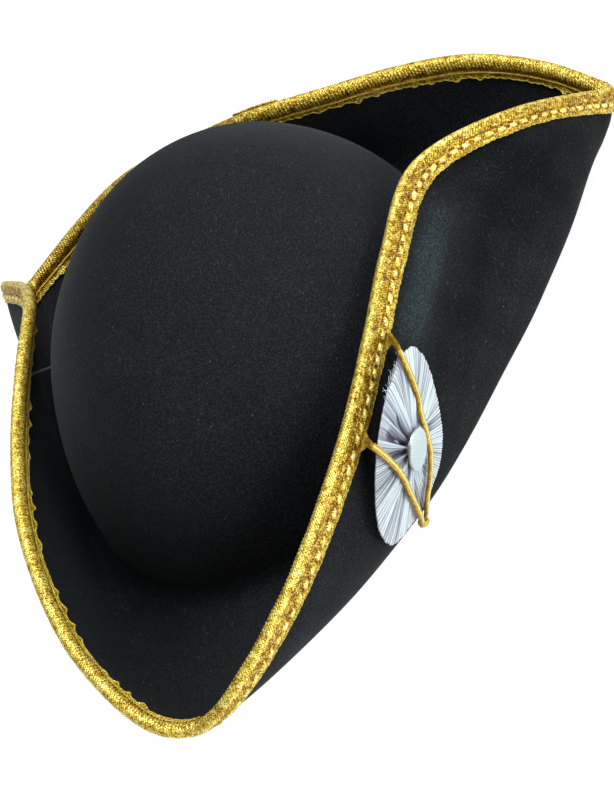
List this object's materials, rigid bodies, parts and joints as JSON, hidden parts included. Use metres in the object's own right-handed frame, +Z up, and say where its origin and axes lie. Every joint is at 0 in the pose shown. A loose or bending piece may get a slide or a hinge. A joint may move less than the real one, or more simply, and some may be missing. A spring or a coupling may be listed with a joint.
{
  "type": "tricorn hat",
  "caption": "Three-cornered blocked felt hat with a domed crown, brim turned up on three sides, gold braid edge, white pleated rosette, covered button and cord loop.",
  "frame": {"origin": "centre of the head opening, in the plane where the crown meets the brim", "axes": "+Z up through the crown, -Y towards the front corner, +X towards the wearer's left"},
  "size_m": [0.2894, 0.3094, 0.1163],
  "materials": {
    "black_felt": "matte wool felt with a short nap",
    "gold_braid": "metallic gold thread braid",
    "gold_cord": "metallic gold soutache cord",
    "black_ribbon": "ribbed grosgrain ribbon",
    "black_thread": "twisted sewing thread",
    "label_cloth": "plain woven cloth",
    "white_ribbon": "pleated ribbed ribbon, slight sheen",
    "white_thread": "twisted sewing thread",
    "button_cloth": "white woven cloth",
    "wire": "drawn steel"
  },
  "bodies": {
    "hat": {"felt_body": "black_felt", "edge_wire": "wire", "edge_braid": "gold_braid", "braid_lap": "gold_braid", "sweatband": "black_ribbon", "sweatband_stitches": "black_thread", "size_label": "label_cloth", "left_flap_tack": "black_thread", "right_flap_tack": "black_thread", "back_flap_tack": "black_thread", "cockade_rosette": "white_ribbon", "cockade_backing": "label_cloth", "cockade_tacks": "white_thread", "shank_thread": "white_thread", "loop_cord_upper": "gold_cord", "loop_cord_lower": "gold_cord", "loop_end_stitch": "gold_cord", "loop_braid_stitches": "gold_cord"},
    "button": {"button_cap": "button_cloth", "button_back": "wire"}
  },
  "joints": [
    {"name": "button_turn", "type": "hinge", "parent": "hat", "child": "button", "pos_m": [0.0817, -0.0848, 0.0321], "axis": [0.9393, -0.2033, -0.2764], "range_deg": [-35, 35]}
  ]
}
